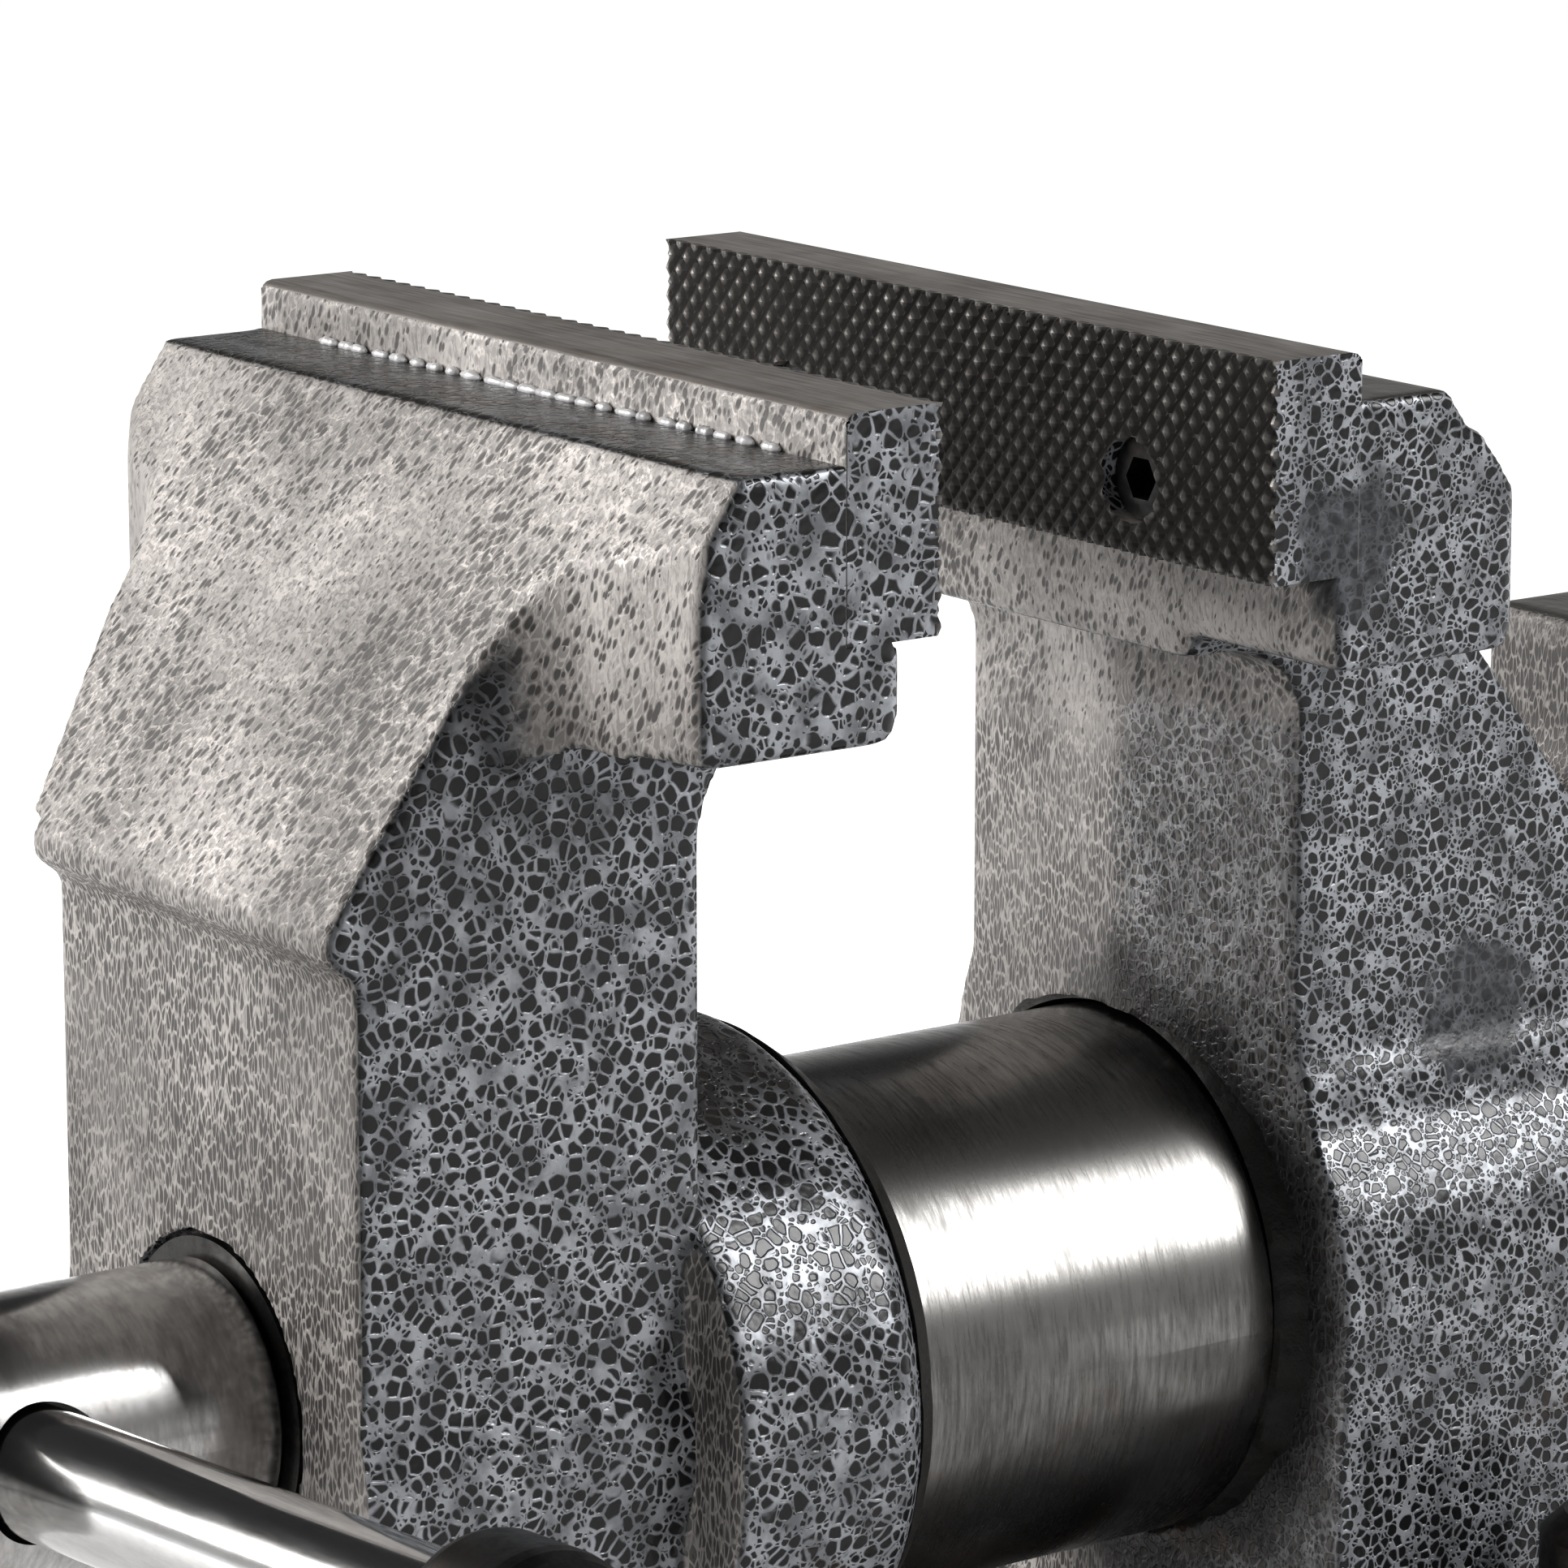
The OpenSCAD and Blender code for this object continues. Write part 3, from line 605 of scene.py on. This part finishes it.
def plate_mesh(low, high, face_y, inward):
    """A jaw plate with real teeth on its face and rounded rear edges."""
    bm = bmesh.new()
    nx = round((high.x - low.x) / TOOTH_W * PER_TOOTH)
    nz = round((high.z - low.z) / TOOTH_H * PER_TOOTH)
    thick = high.y - low.y
    grid = []
    for j in range(nz + 1):
        z = low.z + (high.z - low.z) * j / nz
        row = []
        for i in range(nx + 1):
            x = low.x + (high.x - low.x) * i / nx
            rim = FACE_RIM if i in (0, nx) or j in (0, nz) else 0.0
            row.append(bm.verts.new((x, face_y + inward * (tooth_depth(x, high.z - z) + rim), z)))
        grid.append(row)

    def depth(v):
        return abs(v.co.y - face_y)

    for j in range(nz):
        for i in range(nx):
            a, b, c, d = grid[j][i], grid[j][i + 1], grid[j + 1][i + 1], grid[j + 1][i]
            if abs(depth(a) - depth(c)) <= abs(depth(b) - depth(d)):
                faces = ((a, b, c), (a, c, d))
            else:
                faces = ((a, b, d), (b, c, d))
            for f in faces:
                bm.faces.new(f)
    ring = [grid[0][i] for i in range(nx)] + [grid[j][nx] for j in range(nz)]
    ring += [grid[nz][i] for i in range(nx, 0, -1)] + [grid[j][0] for j in range(nz, 0, -1)]
    start = [v.co.copy() for v in ring]
    top = high.z - 0.5 * MM
    for depth_y, inset in PLATE_RINGS:
        y = face_y + inward * depth_y / PLATE_MM * thick
        new = [bm.verts.new((p.x, y, p.z - (inset * MM if p.z > top else 0))) for p in start]
        for k in range(len(ring)):
            m = (k + 1) % len(ring)
            bm.faces.new((ring[k], ring[m], new[m], new[k]))
        ring = new
    bm.faces.new(ring)
    bmesh.ops.recalc_face_normals(bm, faces=bm.faces)
    mesh = bpy.data.meshes.new("plate")
    bm.to_mesh(mesh)
    bm.free()
    return mesh


def cut_screw_holes(piece, screws, face_y, inward):
    """Counterbored holes for the plate's two screws, cut to the CAD's sizes."""
    screws_low, screws_high = (Vector(c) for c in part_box(screws))
    z = (screws_low.z + screws_high.z) / 2
    along_y = Matrix.Rotation(math.pi / 2, 4, "X")
    for x in (screws_low.x + SCREW_HEAD_R, screws_high.x - SCREW_HEAD_R):
        for radius, y0, y1 in DRILLS:
            middle = Matrix.Translation((x, face_y + inward * (y0 + y1) / 2, z))
            bm = bmesh.new()
            bmesh.ops.create_cone(bm, segments=48, radius1=radius, radius2=radius, depth=y1 - y0,
                                  cap_ends=True, matrix=middle @ along_y)
            mesh = bpy.data.meshes.new("drill")
            bm.to_mesh(mesh)
            bm.free()
            drill = bpy.data.objects.new("drill", mesh)
            bpy.context.scene.collection.objects.link(drill)
            cut = piece.modifiers.new("hole", "BOOLEAN")
            cut.object = drill
            cut.solver = "EXACT"
            done = bpy.data.meshes.new_from_object(piece.evaluated_get(bpy.context.evaluated_depsgraph_get()))
            piece.modifiers.clear()
            piece.data = done
            bpy.data.objects.remove(drill)


def jaw_plate(name, node, body, paint, low, high, face_y, inward):
    """Serrated on its face, ground on top and painted on its ends and back. inward is
    the direction along Y from the face into the plate."""
    mesh = plate_mesh(low, high, face_y, inward)
    piece = bpy.data.objects.new(name, mesh)
    bpy.context.scene.collection.objects.link(piece)
    cut_screw_holes(piece, node.replace("plate", "screws"), face_y, inward)
    mesh = piece.data
    mesh.materials.clear()
    for material in (SERRATED, GROUND, paint):
        mesh.materials.append(material)
    for p in mesh.polygons:
        depth = abs(p.center.y - face_y)
        on_top = p.normal.z > 0.75 and p.center.z > high.z - 1.5 * MM
        on_end = abs(p.normal.x) > 0.6 or p.normal.y * inward > 0.3
        if depth <= 1.0 * MM:
            p.material_index = 0
        elif on_end and not on_top and depth < 14.1 * MM and p.center.z < high.z - 0.2 * MM:
            p.material_index = 2
        else:
            p.material_index = 1
        p.use_smooth = depth > 12 * MM
    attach(piece, body)
    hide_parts(node)
    return piece


def grease_ring(name, body, y0, y1, profile, seed, rough):
    """Black grease in a ragged ring round the bar's axis. The profile is (fraction of
    the way from y0 to y1, gap to the bar's clearance, share of the raggedness)."""
    rng = np.random.default_rng(seed)
    turns = 220
    angle = np.arange(turns) / turns * 2 * math.pi
    ragged = sum(rng.normal(0, 1 / k ** 0.85) * np.sin(k * angle + rng.uniform(0, 6.28))
                 for k in range(2, 70))
    ragged = ragged / np.abs(ragged).max()
    bm = bmesh.new()
    rings = []
    for part, gap, loose in profile:
        ring = []
        for a, r in zip(angle, ragged):
            wide = CLEAR_R + gap + rough * r * loose
            y = y0 + (y1 - y0) * part + rough * r * loose * 0.8 * (1 if y1 > y0 else -1)
            ring.append(bm.verts.new((wide * math.cos(a), y, BAR_Z + wide * math.sin(a))))
        rings.append(ring)
    for k in range(len(rings)):
        one, two = rings[k], rings[(k + 1) % len(rings)]
        for i in range(turns):
            j = (i + 1) % turns
            bm.faces.new((one[i], one[j], two[j], two[i]))
    bmesh.ops.recalc_face_normals(bm, faces=bm.faces)
    mesh = bpy.data.meshes.new(name)
    bm.to_mesh(mesh)
    bm.free()
    return add_piece(name, mesh, body, GREASE, "dark_steel")


# ------------------------------------------------------------------ the object

fixed_casting()
moving_casting()
base_casting()
jaw_plate("fixed_plate", "fixed_jaw_plate", "vise_body", PAINT_FIXED,
          PLATE_LOW, PLATE_HIGH, PLATE_LOW.y, 1)
jaw_plate("moving_plate", "moving_jaw_plate", "front_jaw", PAINT_MOVING,
          MOVING_LOW, MOVING_HIGH, MOVING_HIGH.y, -1)

CLEAR_R = BAR_R + 0.12 * MM
BODY_PROFILE = [(0, 0, 0), (1, 0, 0), (0.93, 0.9 * MM, 0.8), (0.45, 1.9 * MM, 1), (0, 3.1 * MM, 1)]
BOSS_PROFILE = [(0, 0, 0), (1, 0, 0), (0.97, 0.8 * MM, 0.6), (0.55, 4.4 * MM, 0.5), (0, 6.6 * MM, 0.8)]
grease_ring("body_grease", "vise_body", BODY_FRONT + 1 * MM, BODY_FRONT - 3.4 * MM,
            BODY_PROFILE, 5, 0.7 * MM)
grease_ring("boss_grease", "front_jaw", BOSS_END - 4.6 * MM, BOSS_END + 1.0 * MM,
            BOSS_PROFILE, 9, 0.4 * MM)

BEAD_STARTS = np.arange(-48, 50, 4.1)
BEAD_RINGS = 9
BEAD_SIDES = 10


def seam_bead():
    """Broken bead of paint along the joint of the moving plate and its shelf, coloured near-white as a
    painted highlight.
    """
    rng = np.random.default_rng(21)
    y, z = MOVING_LOW.y - 0.5 * MM, SHELF_Z + 0.25 * MM
    bm = bmesh.new()
    for start in BEAD_STARTS:
        run = rng.uniform(2.2, 4.6) * MM
        x0 = start * MM + rng.uniform(-0.6, 0.6) * MM
        rings = []
        for k in range(BEAD_RINGS):
            part = k / (BEAD_RINGS - 1)
            r = (0.20 + 0.52 * math.sin(math.pi * part) ** 0.6 * rng.uniform(0.6, 1.2)) * MM
            ring = []
            for c in range(BEAD_SIDES):
                a = c / BEAD_SIDES * 2 * math.pi
                ring.append(bm.verts.new((x0 + run * part, y + r * math.cos(a), z + r * math.sin(a))))
            rings.append(ring)
        for one, two in zip(rings, rings[1:]):
            for c in range(BEAD_SIDES):
                d = (c + 1) % BEAD_SIDES
                bm.faces.new((one[c], one[d], two[d], two[c]))
        bm.faces.new(rings[0])
        bm.faces.new(rings[-1])
    bmesh.ops.recalc_face_normals(bm, faces=bm.faces)
    mesh = bpy.data.meshes.new("seam_bead")
    bm.to_mesh(mesh)
    bm.free()
    return add_piece("seam_bead", mesh, "front_jaw", GLINT_BEAD, "hammered_paint")


seam_bead()

# The CAD nodes that aren't replaced; any that isn't named here is blackened steel
FINISH = {
    "slide_bar": BAR_STEEL, "thrust_washer": BLACK, "spindle": HEAD_STEEL, "handle_bar": CHROME,
    "left_handle_knob": BLACK, "right_handle_knob": BLACK, "spindle_nut": IRON,
    "lock_washers": ZINC, "pivot_washer": ZINC, "left_lock_lever": ZINC, "right_lock_lever": ZINC,
}
for node, obj in NODES.items():
    obj.data.materials.clear()
    obj.data.materials.append(FINISH.get(node, BLACK))

# ------------------------------------------------------------------ stage


FLOOR_R = 6.0
BEHIND = (-0.81, 0.585, 0)          # level direction away from the camera


def stage():
    """A pale floor that glows behind the object, so that it fades into the backdrop."""
    bm = bmesh.new()
    bmesh.ops.create_circle(bm, cap_ends=True, segments=96, radius=FLOOR_R)
    mesh = bpy.data.meshes.new("floor")
    bm.to_mesh(mesh)
    bm.free()
    floor = bpy.data.objects.new("floor", mesh)
    bpy.context.scene.collection.objects.link(floor)
    t = Tree("pale_floor")
    behind = t.node("ShaderNodeVectorMath", operation="DOT_PRODUCT")
    t.feed(behind.inputs[0], t.place())
    behind.inputs[1].default_value = BEHIND
    glow = t.ramp(behind.outputs["Value"], -0.25, 0.35, 0.0, 0.9)
    t.set(Base_Color=(0.86, 0.86, 0.86, 1.0), Emission_Strength=glow)
    t.shader.inputs["Roughness"].default_value = 0.9
    t.shader.inputs["Emission Color"].default_value = (1, 1, 1, 1)
    mesh.materials.append(t.material)


def area_light(name, place, aim, size, watts, tint=(1, 1, 1)):
    data = bpy.data.lights.new(name, "AREA")
    data.shape = "RECTANGLE"
    data.size, data.size_y = size
    data.energy = watts
    data.color = tint
    lamp = bpy.data.objects.new(name, data)
    lamp.location = place
    lamp.rotation_euler = (Vector(aim) - Vector(place)).to_track_quat("-Z", "Y").to_euler()
    bpy.context.scene.collection.objects.link(lamp)


def world():
    """White round the horizon, dark overhead."""
    w = bpy.data.worlds.new("studio")
    bpy.context.scene.world = w
    w.use_nodes = True
    tree = w.node_tree
    coords = tree.nodes.new("ShaderNodeTexCoord")
    split = tree.nodes.new("ShaderNodeSeparateXYZ")
    ramp = tree.nodes.new("ShaderNodeValToRGB")
    tree.links.new(coords.outputs["Generated"], split.inputs[0])
    tree.links.new(split.outputs["Z"], ramp.inputs[0])
    tree.links.new(ramp.outputs[0], tree.nodes["Background"].inputs[0])
    ramp.color_ramp.elements[0].position = 0.02
    ramp.color_ramp.elements[0].color = (1, 1, 1, 1)
    ramp.color_ramp.elements[1].position = 0.36
    ramp.color_ramp.elements[1].color = (0.06, 0.06, 0.062, 1)
    tree.nodes["Background"].inputs[1].default_value = 0.55


LIGHT_AIM = (0.0, -0.08, 0.16)
stage()
world()
area_light("key", (-0.85, -1.05, 0.75), LIGHT_AIM, (0.9, 0.9), 21, (1.0, 0.98, 0.96))
area_light("side_box", (1.0, 0.85, 0.98), LIGHT_AIM, (0.4, 0.85), 17)

# ------------------------------------------------------------------ camera

CAMERA_AIM = Vector((-0.0006, -0.0871, 0.1731))
CAMERA_AZIMUTH = math.radians(54.18)
CAMERA_ELEVATION = math.radians(12.58)
CAMERA_DISTANCE = 0.880


def camera():
    data = bpy.data.cameras.new("camera")
    data.lens = 162.5
    data.sensor_width = 36
    data.clip_start = 0.01
    cam = bpy.data.objects.new("camera", data)
    bpy.context.scene.collection.objects.link(cam)
    away = Vector((math.sin(CAMERA_AZIMUTH) * math.cos(CAMERA_ELEVATION),
                   -math.cos(CAMERA_AZIMUTH) * math.cos(CAMERA_ELEVATION), math.sin(CAMERA_ELEVATION)))
    cam.location = CAMERA_AIM + away * CAMERA_DISTANCE
    cam.rotation_euler = away.to_track_quat("Z", "Y").to_euler()
    bpy.context.scene.camera = cam


camera()
bpy.context.scene.view_settings.view_transform = "Standard"
